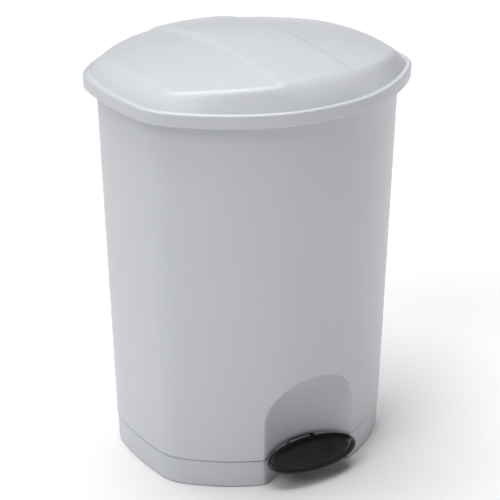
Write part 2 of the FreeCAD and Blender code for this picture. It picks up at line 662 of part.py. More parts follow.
def dome_volume(name, inset):
    """The lid's crowned dome with its raised band, drawn in by an inset."""
    foot_height = f"{LID_UNDER} - ({inset}) + Dim.lid_wall - 1"
    foot_grow = f"Dim.lid_overhang - Dim.dome_foot_inset - ({inset})"
    rise = "70"
    trunk = plan_solid(f"{name}_trunk", foot_height, foot_grow, f"{foot_height} + {rise}",
                       f"{foot_grow} - {rise} * Dim.dome_lean")
    slab = box(f"{name}_band_slab", (f"-Dim.band_half + ({inset})", f"Dim.band_half - ({inset})"),
               ("-2 * Dim.front_reach", "2 * Dim.front_reach"), ("Dim.skirt_low", "Dim.band_top + 100"))
    crowns = []
    for label, radius, top, shift, limits in (
            ("crown", "Dim.crown_radius", "Dim.crown_top", "-Dim.crown_shift", []),
            ("step", "Dim.crown_radius", "(Dim.crown_top + Dim.band_step)", "-Dim.crown_shift", [slab]),
            ("band", "Dim.band_radius", "Dim.band_top", "Dim.band_shift", [slab])):
        ball = doc.addObject("Part::Sphere", f"{name}_{label}_ball")
        bind(ball, Radius=f"{radius} - ({inset})")
        place(ball, ("0", shift, f"{top} - {radius}"))
        crowns.append(common(f"{name}_{label}", trunk, ball, *limits))
    return fuse(f"{name}_dome", *crowns)


def make_lid():
    """Domed lid with skirt, bead, groove, crank pad, buffer posts and knuckles, and its rubber buffers."""
    skirt = plan_solid("lid_skirt", "Dim.skirt_low", "Dim.lid_overhang", "Dim.rim_top",
                       "Dim.lid_overhang")
    groove = plan_solid("lid_groove", "Dim.rim_top - Dim.groove_depth",
                        "Dim.lid_overhang - Dim.bead_width", "Dim.rim_top + 1",
                        "Dim.lid_overhang - Dim.bead_width")
    under = plan_solid("lid_under", "Dim.skirt_low - 1", "Dim.lid_overhang - Dim.lid_wall", LID_UNDER,
                       "Dim.lid_overhang - Dim.lid_wall")
    dome = dome_volume("lid_outside", "0")
    room = dome_volume("lid_inside", "Dim.lid_wall")
    pad = box("lid_pad_box", ("-Dim.crank_plate_half - 2", "Dim.crank_plate_half + 2"),
              (f"{CRANK_Y} + Dim.crank_eye - Dim.crank_plate_length - 2", f"{CRANK_Y} + Dim.crank_eye + 2"),
              (LID_UNDER, f"{LID_UNDER} + 40"))
    rim = cut("lid_rim", skirt, groove)
    shell = cut("lid_shell", fuse("lid_outer", rim, dome), under, room)
    knuckle_top = "Dim.hinge_up + Dim.knuckle_radius"
    knuckle_low = "Dim.hinge_up - Dim.knuckle_radius"
    knuckle_outer = "(Dim.knuckle_inner + Dim.knuckle_width)"
    skirt_out = f"({BACK_REACH} + Dim.lid_overhang)"
    drop = f"(Dim.front_bulge * pow({knuckle_outer} / Dim.front_half; 2))"
    arms = mirrored_boxes("knuckle_arm", ("Dim.knuckle_inner", knuckle_outer),
                          (f"{skirt_out} - {drop} - Dim.lid_wall / 2", "Dim.hinge_back"),
                          (knuckle_low, knuckle_top))
    barrels = []
    for side, start in (("left", f"-{knuckle_outer}"), ("right", "Dim.knuckle_inner")):
        barrels.append(cylinder(f"knuckle_barrel_{side}", "Dim.knuckle_radius", "Dim.knuckle_width",
                                (start, "Dim.hinge_back", "Dim.hinge_up"), "x"))
    bore = cylinder("knuckle_bore", "Dim.hinge_pin_radius + Dim.hinge_bore_clear",
                    f"2 * {knuckle_outer} + 2",
                    (f"-{knuckle_outer} - 1", "Dim.hinge_back", "Dim.hinge_up"), "x")
    across = ("(Dim.side_reach + Dim.side_bulge * (1 - pow(Dim.buffer_along / Dim.side_half; 2))"
              " - (Dim.flange_edge + Dim.bucket_gap) / 2)")
    low = f"({FLANGE_TOP} + Dim.buffer_clear)"
    posts = []
    buffers = []
    for i, (sx, sy) in enumerate(QUARTERS):
        at = (f"{sx} * {across}", f"{sy} * Dim.buffer_along")
        posts.append(cylinder(f"buffer_post_{i}", "Dim.buffer_post", "40", (*at, LID_UNDER)))
        buffers.append(cylinder(f"buffer_{i}", "Dim.buffer_radius", f"{LID_UNDER} - {low}", (*at, low)))
    boss = common("lid_pad", fuse("lid_pads", pad, *posts), dome)
    pilots = []
    for side, sign in SIDES:
        pilots.append(cylinder(f"crank_pilot_{side}", "Dim.crank_screw_radius", "11",
                               (*crank_screw_place(sign), f"{LID_UNDER} - 1")))
    whole = fuse("lid_whole", shell, boss, *arms, *barrels)
    finish_node(cut("lid_cut", whole, bore, *pilots), "lid")
    group("lid_buffers", buffers)


def crank_screw_place(sign):
    return (f"{sign} * (Dim.crank_plate_half - 4.5)",
            f"{CRANK_Y} + Dim.crank_eye - Dim.crank_plate_length + 5")


def make_lid_crank():
    """Crank under the lid's back: a plate with two cheeks and the pin that lifts with the rod."""
    cheek_in = "(Dim.head_thick / 2 + Dim.crank_gap)"
    cheek_out = f"({cheek_in} + Dim.crank_cheek)"
    plate_low = f"({LID_UNDER} - Dim.crank_plate)"
    back = f"{CRANK_Y} + Dim.crank_eye"
    plate = box("crank_plate", ("-Dim.crank_plate_half", "Dim.crank_plate_half"),
                (f"{back} - Dim.crank_plate_length", back), (plate_low, LID_UNDER))
    straps = mirrored_boxes("crank_strap", (cheek_in, cheek_out),
                            (f"{CRANK_Y} - Dim.crank_eye", back), (CRANK_Z, f"{plate_low} + 1"))
    eyes = []
    for side, start in (("left", f"-{cheek_out}"), ("right", cheek_in)):
        eyes.append(cylinder(f"crank_eye_{side}", "Dim.crank_eye", "Dim.crank_cheek",
                             (start, CRANK_Y, CRANK_Z), "x"))
    bore = cylinder("crank_bore", "Dim.crank_pin_radius", f"2 * {cheek_out} + 2",
                    (f"-{cheek_out} - 1", CRANK_Y, CRANK_Z), "x")
    holes = []
    screws = []
    for side, sign in SIDES:
        at = crank_screw_place(sign)
        holes.append(cylinder(f"crank_hole_{side}", "Dim.crank_screw_radius + Dim.screw_clear",
                              "Dim.crank_plate + 2", (*at, f"{plate_low} - 1")))
        screws.append(fastener(f"crank_screw_{side}", (*at, plate_low), "z",
                               "Dim.crank_head_radius", "Dim.small_head_height",
                               "Dim.crank_screw_radius", "Dim.crank_screw_length", outward=-1))
    finish_node(cut("crank_cut", fuse("crank_raw", plate, *straps, *eyes), bore, *holes), "lid_crank")
    group("crank_screws", screws)
    finish_node(cylinder("crank_pin_rod", "Dim.crank_pin_radius", f"2 * {cheek_out} + 4",
                         (f"-{cheek_out} - 2", CRANK_Y, CRANK_Z), "x"), "crank_pin")


def make_lift_rod():
    """Vertical rod with an eye at its foot and a fork head, and the pin in the eye."""
    shaft = cylinder("rod_shaft", "Dim.rod_radius", f"Dim.rod_top - {ROD_LOW} - 4",
                     ("0", "Dim.rod_back", f"{ROD_LOW} + 4"))
    eye = cylinder("rod_eye", "Dim.eye_radius", "Dim.head_thick",
                   ("-Dim.head_thick / 2", "Dim.rod_back", ROD_LOW), "x")
    eye_bore = cylinder("rod_eye_bore", "Dim.rod_pin_radius", "Dim.head_thick + 2",
                        ("-Dim.head_thick / 2 - 1", "Dim.rod_back", ROD_LOW), "x")
    finish_node(cut("rod_cut", fuse("rod_raw", shaft, eye), eye_bore), "lift_rod")
    half_slot = "(Dim.crank_pin_radius + Dim.slot_clear)"
    head_low = f"({CRANK_Z} - {half_slot} - Dim.head_tine)"
    head_top = f"({CRANK_Z} + {half_slot} + Dim.head_tine)"
    socket = cylinder("head_socket", "Dim.socket_radius", f"{head_top} - (Dim.rod_top - Dim.socket_length)",
                      ("0", "Dim.rod_back", "Dim.rod_top - Dim.socket_length"))
    tines = box("head_tines", ("-Dim.head_thick / 2", "Dim.head_thick / 2"),
                ("Dim.rod_back", f"{CRANK_Y} + Dim.crank_pin_radius + 1.2"), (head_low, head_top))
    near = f"(Dim.hinge_back - Dim.crank_reach - Dim.crank_pin_radius - 0.6)"
    slot = box("head_slot", ("-Dim.head_thick", "Dim.head_thick"), (near, f"{CRANK_Y} + 20"),
               (f"{CRANK_Z} - {half_slot}", f"{CRANK_Z} + {half_slot}"))
    bore = cylinder("head_bore", "Dim.rod_radius", "Dim.socket_length",
                    ("0", "Dim.rod_back", "Dim.rod_top - Dim.socket_length"))
    finish_node(cut("rod_head_cut", fuse("rod_head_raw", socket, tines), slot, bore), "rod_head")
    prong_out = "Dim.lever_half"
    finish_node(cylinder("rod_pin_shank", "Dim.rod_pin_radius", f"2 * {prong_out} + 7",
                         (f"-{prong_out} - 3.5", "Dim.rod_back", ROD_LOW), "x"), "rod_pin")
    clips = []
    for side, start in (("left", f"-{prong_out} - 2.8"), ("right", f"{prong_out} + 0.8")):
        clips.append(ring(f"rod_clip_{side}", "2.1 * Dim.rod_pin_radius", "Dim.rod_pin_radius", "2",
                          (start, "Dim.rod_back", ROD_LOW), "x"))
    group("rod_pin_clips", clips)


LEVER_REACH = "(Dim.rod_back + Dim.axle_front)"
LEVER_DIP = f"asin({LIFT_HALF} / {LEVER_REACH})"
TRAY_TURN = Rotation(Vector(1, 0, 0), size("pedal_tilt"))


def tray_frame(obj):
    """Lay a piece drawn flat, face up, on the tilted plane of the pedal's tread."""
    place(obj, ("0", "-Dim.pedal_front", "Dim.pedal_up"), TRAY_TURN)
    return obj


def ellipse_slab(name, half, depth, low, high):
    """An elliptic slab between two heights."""
    rim = doc.addObject("Part::Ellipse", f"{name}_rim")
    bind(rim, MajorRadius=half, MinorRadius=depth)
    place(rim, ("0", "0", low))
    slab = doc.addObject("Part::Extrusion", name)
    slab.Base = rim
    slab.DirMode = "Custom"
    slab.Dir = Vector(0, 0, 1)
    slab.Solid = True
    slab.setExpression("LengthFwd", f"({high}) - ({low})")
    return slab


def make_pedal():
    """Oval dished tread, its lever with hub and forked tail, the axle, clips and tread screws."""
    lip = ellipse_slab("tread_lip", "Dim.pedal_half", "Dim.pedal_depth", "-Dim.pedal_lip", "0")
    core = ellipse_slab("tread_core", "Dim.pedal_half - Dim.pedal_under",
                        "Dim.pedal_depth - Dim.pedal_under", "-Dim.pedal_thick", "-Dim.pedal_lip / 2")
    tread = fuse("tread_slab", lip, core)
    dish = ellipse_slab("tread_dish", "Dim.pedal_half - Dim.pedal_rim",
                        "Dim.pedal_depth - Dim.pedal_rim", "-Dim.pedal_dish", "1")
    pilots = []
    screws = []
    plate_holes = []
    plate_low = "(-Dim.pedal_thick - Dim.lever_plate)"
    for side, sign in SIDES:
        at = (f"{sign} * (Dim.lever_plate_half - 6)", "0")
        pilots.append(cylinder(f"tread_pilot_{side}", "Dim.tread_screw_radius", "4",
                               (*at, "-Dim.pedal_thick - 0.5")))
        plate_holes.append(cylinder(f"plate_hole_{side}", "Dim.tread_screw_radius + Dim.screw_clear",
                                    "8", (*at, f"{plate_low} - 2")))
        screws.append(fastener(f"tread_screw_{side}", (*at, plate_low), "z",
                               "Dim.tread_head_radius", "Dim.small_head_height",
                               "Dim.tread_screw_radius", "Dim.tread_screw_length", outward=-1))
    finish_node(tray_frame(cut("tread_cut", tread, dish, *pilots)), "pedal")
    plate = tray_frame(cut("lever_plate_cut",
                           box("lever_plate", ("-Dim.lever_plate_half", "Dim.lever_plate_half"),
                               ("-14", "Dim.pedal_depth + 6"), (plate_low, "-Dim.pedal_thick")),
                           *plate_holes))
    group("tread_screws", [tray_frame(screw) for screw in screws])
    gusset = box("lever_gusset", ("-Dim.lever_plate_half", "Dim.lever_plate_half"),
                 ("-Dim.axle_front - 16", "-Dim.axle_front"),
                 ("Dim.axle_up - 5", "Dim.axle_up + 5"))
    hub = cylinder("lever_hub", "Dim.hub_radius", "2 * Dim.hub_half",
                   ("-Dim.hub_half", "-Dim.axle_front", "Dim.axle_up"), "x")
    tail = f"({LEVER_REACH} + 6.5)"
    bar = box("lever_bar", ("-Dim.lever_half", "Dim.lever_half"), ("0", tail),
              ("-Dim.lever_height / 2", "Dim.lever_height / 2"))
    prong_gap = "(Dim.head_thick / 2 + 0.5)"
    mouth = box("lever_mouth", (f"-{prong_gap}", prong_gap), (f"{LEVER_REACH} - 9", f"{tail} + 1"),
                ("-Dim.lever_height", "Dim.lever_height"))
    far = f"({LEVER_REACH} / cos({LEVER_DIP}))"
    play = "(Dim.rod_pin_radius + 0.2)"
    slot = box("lever_slot", ("-20", "20"), (f"{LEVER_REACH} - {play}", f"{far} + {play}"),
               (f"-{play}", play))
    arm = cut("lever_arm", bar, mouth, slot)
    sheet_dip = math.degrees(math.asin(size("crank_reach") * math.sin(math.radians(size("lid_open") / 2))
                                       / (size("rod_back") + size("axle_front"))))
    place(arm, ("0", "-Dim.axle_front", "Dim.axle_up"), Rotation(Vector(1, 0, 0), -sheet_dip))
    bore = cylinder("lever_bore", "Dim.axle_radius", "2 * Dim.hub_half + 2",
                    ("-Dim.hub_half - 1", "-Dim.axle_front", "Dim.axle_up"), "x")
    finish_node(cut("lever_cut", fuse("lever_raw", plate, gusset, hub, arm), bore), "pedal_lever")
    end = f"({BEARING_OUTER} + 4)"
    finish_node(cylinder("axle_rod", "Dim.axle_radius", f"2 * {end}",
                         (f"-{end}", "-Dim.axle_front", "Dim.axle_up"), "x"), "pedal_axle")
    clips = []
    for side, start in (("left", f"-{BEARING_OUTER} - 2.5"), ("right", f"{BEARING_OUTER} + 0.5")):
        clips.append(ring(f"axle_clip_{side}", "2 * Dim.axle_radius", "Dim.axle_radius", "2",
                          (start, "-Dim.axle_front", "Dim.axle_up"), "x"))
    group("axle_clips", clips)


def write_nodes():
    """Check every object, then write each sub-part."""
    failed = [o.Name for o in doc.Objects if {"Invalid", "Error"} & set(o.State)]
    if failed:
        raise RuntimeError(f"failed objects: {failed}")
    for node in NODES:
        if node.Shape.isNull() or not node.Shape.isValid():
            raise RuntimeError(f"bad shape: {node.Label}")
    os.makedirs("parts", exist_ok=True)
    for node in NODES:
        node.Shape.exportStep(f"parts/{node.Label}.step")
        box_ = node.Shape.BoundBox
        print(f"{node.Label}: {len(node.Shape.Solids)} solid(s), {node.Shape.Volume:.0f} mm3, "
              f"x {box_.XMin:.1f}..{box_.XMax:.1f} y {box_.YMin:.1f}..{box_.YMax:.1f} "
              f"z {box_.ZMin:.1f}..{box_.ZMax:.1f}")


body_solid = drafted("body_solid", BODY_LOW, "Dim.body_height")
body_hollow = drafted("body_hollow", f"{BODY_LOW} - 1", "Dim.body_height + 1", "-Dim.body_wall")
make_outer_body()
make_base()
make_pedal_bearings()
make_hinge_bracket()
make_rod_guides()
make_inner_bucket()
make_pedal()
make_lift_rod()
make_lid()
make_lid_crank()
doc.recompute()
write_nodes()
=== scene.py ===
import json
import math

import bmesh
import bpy
import numpy as np
from mathutils import Matrix, Vector


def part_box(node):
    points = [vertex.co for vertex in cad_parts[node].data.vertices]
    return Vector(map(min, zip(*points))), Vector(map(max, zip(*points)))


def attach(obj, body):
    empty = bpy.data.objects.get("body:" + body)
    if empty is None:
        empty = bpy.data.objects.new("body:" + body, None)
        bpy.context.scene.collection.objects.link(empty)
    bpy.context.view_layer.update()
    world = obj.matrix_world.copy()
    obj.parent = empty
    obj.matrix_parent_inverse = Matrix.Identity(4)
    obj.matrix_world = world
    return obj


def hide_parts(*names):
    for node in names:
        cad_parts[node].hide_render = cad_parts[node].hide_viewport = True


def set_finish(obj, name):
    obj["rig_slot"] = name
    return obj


# Looks of the pedal bin, built round its CAD frame. Lengths in the shape code are millimetres and
# every mesh is scaled to metres when it is made. The bin stands on z = 0 and its pedal faces -Y.

MM = 0.001

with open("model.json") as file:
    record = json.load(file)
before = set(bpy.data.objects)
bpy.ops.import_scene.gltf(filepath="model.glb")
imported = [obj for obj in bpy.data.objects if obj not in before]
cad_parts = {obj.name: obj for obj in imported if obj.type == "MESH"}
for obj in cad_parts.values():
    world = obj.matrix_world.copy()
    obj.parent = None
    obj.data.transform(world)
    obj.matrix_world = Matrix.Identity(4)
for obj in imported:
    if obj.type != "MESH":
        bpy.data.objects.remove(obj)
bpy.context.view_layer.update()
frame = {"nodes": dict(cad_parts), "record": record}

# ---------------------------------------------------------------- sizes, in millimetres

FRONT_HALF, FRONT_REACH, FRONT_BULGE = 56.0, 177.0, 6.0
SIDE_HALF, SIDE_REACH, SIDE_BULGE = 84.0, 191.0, 8.5
DIAGONAL_BULGE = 12.5
CREASE_BLEND = 0.8          # softness of the crease between the front and the diagonal sides
CORNER_BLEND = 8.5          # softness of the corner between the diagonal and the long sides

BODY_TOP, DRAFT = 546.0, 15.0
BODY_LOW = 41.2
BODY_WALL = 2.5
PLINTH_TOP, PLINTH_SET_BACK = 40.0, 1.0
FLOOR_THICK = 3.0
LIP_OUT, LIP_THICK, LIP_RISE = 2.7, 2.0, 9.0
BOSS_RADIUS, BOSS_INSET, BOSS_SPLIT, BOSS_TOP, POST_RADIUS = 7.0, 8.5, 54.0, 74.0, 4.5

NICHE_HALF, NICHE_DEPTH, NICHE_FRONT = 73.0, 34.0, -170.0
NICHE_SPRING, NICHE_RISE = 95.0, 62.0
NICHE_BLEND = 11.0          # softness of the niche's rim
GATE_HALF, GATE_LOW, GATE_HIGH = 25.0, 22.0, 48.5

LID_OUT = 16.9
SKIRT_LOW, RIM_TOP, LID_WALL = 537.0, 555.0, 2.5
BEAD_WIDTH, BEAD_ROUND, GROOVE_DEPTH = 5.0, 3.2, 1.5
DOME_FOOT, DOME_LEAN = 7.0, 0.62
CROWN_RADIUS, CROWN_TOP, CROWN_SHIFT = 800.0, 597.0, -25.0
BAND_HALF, BAND_RADIUS, BAND_TOP, BAND_SHIFT, BAND_STEP = 55.0, 600.0, 599.9, 5.0, 1.0
BAND_EDGE = 11.0            # width of the band's rounded edge

BUFFER_POST = 5.0

HINGE_Y, HINGE_Z = 207.5, 545.0
KNUCKLE_RADIUS, KNUCKLE_INNER, KNUCKLE_WIDTH, PIN_BORE = 6.0, 18.0, 16.0, 2.05

PEDAL_HALF, PEDAL_DEPTH, PEDAL_THICK = 71.5, 27.0, 9.0
PEDAL_RIM, PEDAL_DISH, PEDAL_LIP, PEDAL_UNDER = 5.0, 3.0, 5.0, 4.0
PEDAL_PLACE, PEDAL_TILT = (0.0, -169.0, 39.0), 28.0

# Padding of the crank's wedge round the crank plate, and radius of the rubber buffers.
PAD_MARGIN, BUFFER_RADIUS, PAD_POINTS, POST_POINTS = 2.0, 3.0, 10, 28

# ---------------------------------------------------------------- stage, in metres and degrees

FLOOR_REACH = 14.0
SENSOR_WIDTH, LENS = 36.0, 129.5        # millimetres
CAMERA_PLACE = (-1.229, -1.976, 1.298)
CAMERA_HEADING, CAMERA_PITCH = 31.93, -23.56
SKY_COLOUR, SKY_STRENGTH = (0.95, 0.97, 1.0), 0.07
SUN_AWAY = 3.0
# Each sun's azimuth, elevation, strength and softness.
SUNS = {
    "key": (72.0, 45.0, 0.90, 30.0),
    "top": (160.0, 80.0, 3.15, 50.0),
    "fill": (-80.0, 22.0, 0.26, 30.0),
}


# ---------------------------------------------------------------- shape formulas

def smooth_max(a, b, width):
    """The larger of two fields, with the corner between them rounded over a width."""
    h = np.clip(width - np.abs(a - b), 0.0, None) / width
    return np.maximum(a, b) + h * h * width / 4.0


def smooth_min(a, b, width):
    return -smooth_max(-a, -b, width)


def smooth_step(low, high, x):
    t = np.clip((x - low) / (high - low), 0.0, 1.0)
    return t * t * (3.0 - 2.0 * t)


def bow(half_chord, bulge):
    """Radius of a side that bows out by a bulge over a half chord."""
    return (half_chord ** 2 + bulge ** 2) / (2.0 * bulge)


FRONT_BOW = bow(FRONT_HALF, FRONT_BULGE)
SIDE_BOW = bow(SIDE_HALF, SIDE_BULGE)
DIAGONAL_BOW = bow(math.hypot(SIDE_REACH - FRONT_HALF, FRONT_REACH - SIDE_HALF) / 2.0, DIAGONAL_BULGE)
TURN = math.atan2(FRONT_REACH - SIDE_HALF, SIDE_REACH - FRONT_HALF)
DIAGONAL_X = (FRONT_HALF + SIDE_REACH) / 2.0 + (DIAGONAL_BULGE - DIAGONAL_BOW) * math.sin(TURN)
DIAGONAL_Y = (FRONT_REACH + SIDE_HALF) / 2.0 + (DIAGONAL_BULGE - DIAGONAL_BOW) * math.cos(TURN)


def side_distances(x, y):
    """Distances outside the nearest front or back side, long side and diagonal side."""
    ax, ay = np.abs(x), np.abs(y)
    front = np.hypot(ax, ay - (FRONT_REACH + FRONT_BULGE - FRONT_BOW)) - FRONT_BOW
    side = np.hypot(ax - (SIDE_REACH + SIDE_BULGE - SIDE_BOW), ay) - SIDE_BOW
    diagonal = np.hypot(ax - DIAGONAL_X, ay - DIAGONAL_Y) - DIAGONAL_BOW
    return front, side, diagonal


def plan_distance(x, y):
    """Distance outside the eight-sided plan at the body's rim: negative inside."""
    front, side, diagonal = side_distances(x, y)
    return smooth_max(smooth_max(front, diagonal, CREASE_BLEND), side, CORNER_BLEND)


def solve(distance, low, high):
    """Where a rising field crosses zero, by halving the interval."""
    for _ in range(34):
        middle = (low + high) / 2.0
        outside = distance(middle) > 0.0
        high = np.where(outside, middle, high)
        low = np.where(outside, low, middle)
    return (low + high) / 2.0


def ray_radius(angle, grow):
    """Distance from the middle to the plan grown by an amount, along each angle."""
    sx, sy = np.sin(angle), np.cos(angle)
    start = np.zeros_like(angle)
    return solve(lambda r: plan_distance(r * sx, r * sy) - grow, start, start + 300.0)


def front_outline(columns, edge_x, grow, others):
    """Outline points: given x across the front, then even angles round the rest."""
    y = -solve(lambda r: plan_distance(columns, r) - grow, np.zeros_like(columns), columns * 0 + 300.0)
    first = math.atan2(edge_x, -y[0])
    angles = np.linspace(math.pi + first, 3.0 * math.pi - first, others + 2)[1:-1]
    radius = ray_radius(angles, grow)
    x = np.concatenate([columns, (radius * np.sin(angles))[::-1]])
    y = np.concatenate([y, (radius * np.cos(angles))[::-1]])
    return x, y


def wall_grow(z):
    """How far the drafted wall stands from the rim's plan at a height."""
    return -DRAFT * (BODY_TOP - z) / BODY_TOP


def niche_y(x, z, grow=0.0):
    """The niche's surface as a depth along Y, and far in front outside its arch."""
    up = np.clip((z - NICHE_SPRING) / (NICHE_RISE + grow), 0.0, None)
    left = 1.0 - (x / (NICHE_HALF + grow)) ** 2 - up ** 2
    inside = NICHE_FRONT + (NICHE_DEPTH + grow) * np.sqrt(np.clip(left, 0.0, None))
    outside = NICHE_FRONT - 60.0 * np.sqrt(np.clip(-left, 0.0, None))
    return np.where(left > 0.0, inside, outside)


def ball_height(x, y, radius, top, shift):
    """Height of a ball's upper side whose crest lies on the middle line."""
    return top - radius + np.sqrt(radius ** 2 - x ** 2 - (y - shift) ** 2)


def top_height(x, y):
    """Height of the dome's crown with the raised band that runs from back to front."""
    crown = ball_height(x, y, CROWN_RADIUS, CROWN_TOP, CROWN_SHIFT)
    band = ball_height(x, y, BAND_RADIUS, BAND_TOP, BAND_SHIFT)
    raised = smooth_max(band, crown + BAND_STEP, 3.0)
    share = 1.0 - smooth_step(BAND_HALF - BAND_EDGE / 2.0, BAND_HALF + BAND_EDGE / 2.0, np.abs(x))
    return crown + (raised - crown) * share


def shoulder_softness(x, y):
    """Rounding of the dome's shoulder: crisp on the diagonals, fuller in front, softest at the sides."""
    front, side, diagonal = side_distances(x, y)
    facing_side = smooth_step(-16.0, 8.0, side - diagonal)
    facing_front = smooth_step(-2.0, 2.5, front - diagonal)
    return 7.0 + 24.0 * facing_side + 13.0 * facing_front


def skin_height(x, y, foot_height, foot_inset, drop):
    """Height of one skin of the dome: leaning side, rounded shoulder and crown, over a flat foot."""
    inset = LID_OUT - plan_distance(x, y)
    side = foot_height + (inset - foot_inset) / DOME_LEAN
    dome = smooth_min(side, top_height(x, y) - drop, shoulder_softness(x, y))
    return smooth_max(dome, np.full_like(dome, foot_height), 1.5)


def lid_height(x, y):
    """Height of the lid's upper skin inside the rim's bead."""
    return skin_height(x, y, RIM_TOP - GROOVE_DEPTH, DOME_FOOT, 0.0)


def lid_room_height(x, y):
    """Height of the lid's lower skin, one wall under the upper one."""
    return skin_height(x, y, RIM_TOP - GROOVE_DEPTH - LID_WALL, DOME_FOOT + LID_WALL, LID_WALL)


# ---------------------------------------------------------------- mesh building

def new_object(name, bm, body, slot, *replaced):
    """A finished mesh as a smooth-shaded piece of the object."""
    bmesh.ops.remove_doubles(bm, verts=bm.verts, dist=0.0005)
    bmesh.ops.recalc_face_normals(bm, faces=bm.faces)
    bmesh.ops.scale(bm, vec=(MM, MM, MM), verts=bm.verts)
    mesh = bpy.data.meshes.new(name)
    bm.to_mesh(mesh)
    bm.free()
    for polygon in mesh.polygons:
        polygon.use_smooth = True
    obj = bpy.data.objects.new(name, mesh)
    bpy.context.scene.collection.objects.link(obj)
    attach(obj, body)
    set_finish(obj, slot)
    if replaced:
        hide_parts(*replaced)
    return obj


def sharp_by_angle(obj, degrees):
    """Keeps edges that bend more than an angle sharp in the shading."""
    bm = bmesh.new()
    bm.from_mesh(obj.data)
    limit = math.radians(degrees)
    for edge in bm.edges:
        edge.smooth = not (len(edge.link_faces) == 2 and edge.calc_face_angle(0.0) > limit)
    bm.to_mesh(obj.data)
    bm.free()


def loop_of(bm, x, y, z):
    """One closed row of vertices."""
    return [bm.verts.new(point) for point in zip(x, y, z)]


def bridge(bm, lower, upper, skip=()):
    """Faces between two closed rows, leaving out the columns in skip."""
    count = len(lower)
    for i in range(count):
        if i not in skip:
            j = (i + 1) % count
            bm.faces.new((lower[i], lower[j], upper[j], upper[i]))


# Columns of the wall meshes: 1 mm apart across the niche, wider round the rest.
NICHE_SPAN = 84.0
FRONT_COLUMNS = np.linspace(-NICHE_SPAN, NICHE_SPAN, 169)
OTHER_COLUMNS = 280


def wall_row(z, grow, niche_grow=0.0):
    """A closed row of the wall at a height, pressed in where the foot niche is."""
    x, y = front_outline(FRONT_COLUMNS, NICHE_SPAN, grow, OTHER_COLUMNS)
    count = len(FRONT_COLUMNS)
    front = y[:count]
    pressed = smooth_max(front, niche_y(FRONT_COLUMNS, z, niche_grow), NICHE_BLEND)
    y[:count] = np.where(np.abs(FRONT_COLUMNS) < NICHE_SPAN, pressed, front)
    return x, y, np.full_like(x, z)


def gate_columns():
    """The columns whose faces lie inside the pedal's gate."""
    return {i for i in range(len(FRONT_COLUMNS) - 1)
            if -GATE_HALF <= FRONT_COLUMNS[i] and FRONT_COLUMNS[i + 1] <= GATE_HALF}


def gate_jambs(bm, outer, inner):
    """Closes the wall's thickness up one side of the gate, between matching upright edges."""
    for k in range(len(outer) - 1):
        bm.faces.new((outer[k], outer[k + 1], inner[k + 1], inner[k]))


def wall_mesh(heights, grow_of, thickness, niche_grow=0.0, edge_round=0.8, gate_span=None):
    """A standing wall of two skins with rounded rims, cut by the pedal's gate between two heights."""
    bm = bmesh.new()
    outer, inner = [], []
    for z in heights:
        pull = edge_round if z in (heights[0], heights[-1]) else 0.0
        outer.append(loop_of(bm, *wall_row(z, grow_of(z) - pull, niche_grow)))
        inner.append(loop_of(bm, *wall_row(z, grow_of(z) - thickness, niche_grow + thickness)))
    gate = gate_columns()
    first, last = min(gate), max(gate) + 1
    low, high = gate_span
    cut = [k for k, z in enumerate(heights) if low <= z <= high]
    for k in range(len(heights) - 1):
        skip = gate if k in cut and k + 1 in cut else ()
        bridge(bm, outer[k], outer[k + 1], skip)
        bridge(bm, inner[k], inner[k + 1], skip)
    bridge(bm, outer[0], inner[0], gate if 0 in cut else ())
    bridge(bm, outer[-1], inner[-1], gate if len(heights) - 1 in cut else ())
    for column in (first, last):
        gate_jambs(bm, [outer[k][column] for k in cut], [inner[k][column] for k in cut])
    for k in (cut[0], cut[-1]):
        if 0 < k < len(heights) - 1:
            gate_jambs(bm, outer[k][first:last + 1], inner[k][first:last + 1])
    return bm


def merged_heights(low, high, coarse, fine, fine_high, *kept):
    """Heights of a wall's rows: fine beside the niche, coarse above it, with some kept exactly."""
    levels = set(kept) | {low, high}
    z = low
    while z < high:
        levels.add(round(z, 3))
        z += fine if z < fine_high else coarse
    ordered = sorted(levels)
    apart = [ordered[0]]
    for z in ordered[1:]:
        if z - apart[-1] > 0.35:
            apart.append(z)
        elif z in kept or z == high:
            apart[-1] = z
    return apart


def build_body():
    """The drafted outer shell with its foot niche and the four screw bosses inside."""
    heights = merged_heights(BODY_LOW, BODY_TOP, 9.0, 1.2, 176.0, BODY_LOW + 0.8, GATE_HIGH, BODY_TOP - 0.8)
    bm = wall_mesh(heights, wall_grow, BODY_WALL, gate_span=(BODY_LOW, GATE_HIGH))
    boss_rise = [(BOSS_SPLIT, BOSS_RADIUS - 0.5), (BOSS_SPLIT + 0.5, BOSS_RADIUS),
                 (BOSS_TOP - 0.5, BOSS_RADIUS), (BOSS_TOP, BOSS_RADIUS - 0.5)]
    add_posts(bm, boss_rise)
    body = new_object("body_shell", bm, "bin", "shell_plastic", "outer_body")
    sharp_by_angle(body, 40.0)
    return body


def add_posts(bm, rise):
    """Round posts at the four screw places, as stacked rings with closed ends."""
    out = DIAGONAL_BULGE + wall_grow(BOSS_TOP) - BOSS_INSET
    across = (FRONT_HALF + SIDE_REACH) / 2.0 + out * math.sin(TURN)
    along = (FRONT_REACH + SIDE_HALF) / 2.0 + out * math.cos(TURN)
    angle = np.linspace(0.0, 2.0 * math.pi, 32, endpoint=False)
    for sx, sy in ((1, 1), (-1, 1), (-1, -1), (1, -1)):
        rows = [loop_of(bm, sx * across + r * np.cos(angle), sy * along + r * np.sin(angle),
                        np.full_like(angle, z)) for z, r in rise]
        for lower, upper in zip(rows, rows[1:]):
            bridge(bm, lower, upper)
        bm.faces.new(rows[0])
        bm.faces.new(rows[-1])


